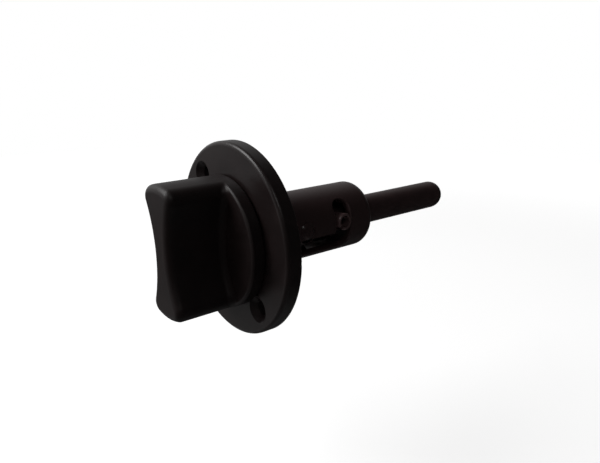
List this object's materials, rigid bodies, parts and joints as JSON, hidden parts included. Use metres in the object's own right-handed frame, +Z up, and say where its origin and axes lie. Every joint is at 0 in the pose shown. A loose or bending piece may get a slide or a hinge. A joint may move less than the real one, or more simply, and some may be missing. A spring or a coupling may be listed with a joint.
{
  "type": "surface mounted door latch",
  "caption": "Round-flanged door latch with a waisted turn knob, a slotted barrel and a spring-loaded plunger that a cross pin locks in the barrel.",
  "frame": {"origin": "centre of the flange's back face, which lies on the door", "axes": "+Y along the latch axis from the knob to the plunger's nose, +Z up"},
  "size_m": [0.058, 0.117, 0.058],
  "materials": {
    "flange_plastic": "satin moulded black",
    "barrel_coat": "satin black coat",
    "rivet_coat": "satin black coat",
    "plunger_coat": "satin black coat",
    "pin_steel": "black oxide",
    "washer_steel": "black oxide",
    "spring_steel": "dark drawn wire",
    "knob_plastic": "satin moulded black"
  },
  "bodies": {
    "housing": {"mounting_flange": "flange_plastic", "barrel": "barrel_coat", "barrel_rivets": "rivet_coat", "spring": "spring_steel"},
    "bolt": {"knob": "knob_plastic", "plunger": "plunger_coat", "cross_pin": "pin_steel", "spring_washer": "washer_steel"}
  },
  "joints": [
    {"name": "turn", "type": "hinge", "parent": "housing", "child": "bolt", "pos_m": [0, 0, 0], "axis": [0, 1, 0], "range_deg": [-24, 35]}
  ]
}
